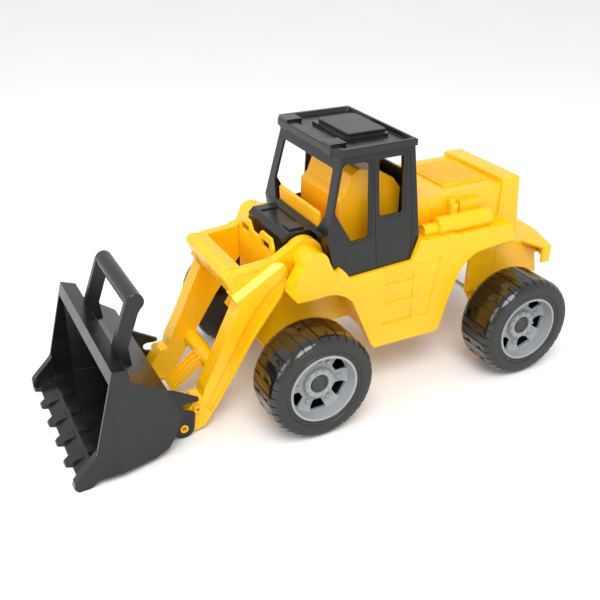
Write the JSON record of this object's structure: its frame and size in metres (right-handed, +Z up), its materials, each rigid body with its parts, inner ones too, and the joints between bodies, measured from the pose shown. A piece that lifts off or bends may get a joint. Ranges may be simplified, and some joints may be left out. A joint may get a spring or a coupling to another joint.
{
  "type": "toy wheel loader",
  "caption": "Toy wheel loader: open cab on a long bonneted body, free-spinning wheels, lifting arm with a tipping toothed bucket and grip handle.",
  "frame": {"origin": "centre of the bounding box in plan, on the ground under the wheels", "axes": "+X forward towards the bucket, +Y to the vehicle's left, +Z up"},
  "size_m": [0.622, 0.2722, 0.2975],
  "materials": {
    "yellow_body": "bright warm yellow moulded plastic, glossy",
    "yellow_arm": "bright warm yellow moulded plastic, glossy",
    "yellow_inside": "yellow moulded plastic, glossy",
    "black_cab": "black moulded plastic, satin with a fine grain",
    "black_bucket": "black moulded plastic, satin outside, glossy in the scoop",
    "black_tyre": "black hard plastic, glossy tread",
    "silver_rim": "silver-grey plastic, satin",
    "black_cap": "dark grey plastic, satin",
    "steel_rod": "plain steel rod",
    "steel_nut": "pressed steel",
    "steel_screw": "zinc plated steel"
  },
  "bodies": {
    "chassis": {"body_shell": "yellow_body", "underframe": "yellow_body", "cab_shell": "black_cab", "cab_interior": "yellow_inside", "front_axle": "steel_rod", "rear_axle": "steel_rod", "front_axle_nuts": "steel_nut", "rear_axle_nuts": "steel_nut", "body_screws": "steel_screw", "cab_screws": "steel_screw"},
    "arm": {"loader_arm": "yellow_arm", "latch_tongue": "yellow_arm", "bucket_pin_left": "yellow_arm", "bucket_pin_right": "yellow_arm"},
    "bucket": {"bucket": "black_bucket", "bucket_handle": "black_bucket"},
    "wheel_front_left": {"tyre_front_left": "black_tyre", "rim_front_left": "silver_rim", "hub_cap_front_left": "black_cap"},
    "wheel_front_right": {"tyre_front_right": "black_tyre", "rim_front_right": "silver_rim", "hub_cap_front_right": "black_cap"},
    "wheel_rear_left": {"tyre_rear_left": "black_tyre", "rim_rear_left": "silver_rim", "hub_cap_rear_left": "black_cap"},
    "wheel_rear_right": {"tyre_rear_right": "black_tyre", "rim_rear_right": "silver_rim", "hub_cap_rear_right": "black_cap"}
  },
  "joints": [
    {"name": "arm_lift", "type": "hinge", "parent": "chassis", "child": "arm", "pos_m": [0.0344, 0, 0.1781], "axis": [0, -1, 0], "range_deg": [0, 55]},
    {"name": "bucket_tilt", "type": "hinge", "parent": "arm", "child": "bucket", "pos_m": [0.1852, 0, 0.0128], "axis": [0, -1, 0], "range_deg": [-60, 24]},
    {"name": "front_left_spin", "type": "hinge", "parent": "chassis", "child": "wheel_front_left", "pos_m": [0.0501, 0, 0.0616], "axis": [0, 1, 0], "continuous": true},
    {"name": "front_right_spin", "type": "hinge", "parent": "chassis", "child": "wheel_front_right", "pos_m": [0.0501, 0, 0.0616], "axis": [0, 1, 0], "continuous": true},
    {"name": "rear_left_spin", "type": "hinge", "parent": "chassis", "child": "wheel_rear_left", "pos_m": [-0.2251, 0, 0.0616], "axis": [0, 1, 0], "continuous": true},
    {"name": "rear_right_spin", "type": "hinge", "parent": "chassis", "child": "wheel_rear_right", "pos_m": [-0.2251, 0, 0.0616], "axis": [0, 1, 0], "continuous": true}
  ]
}
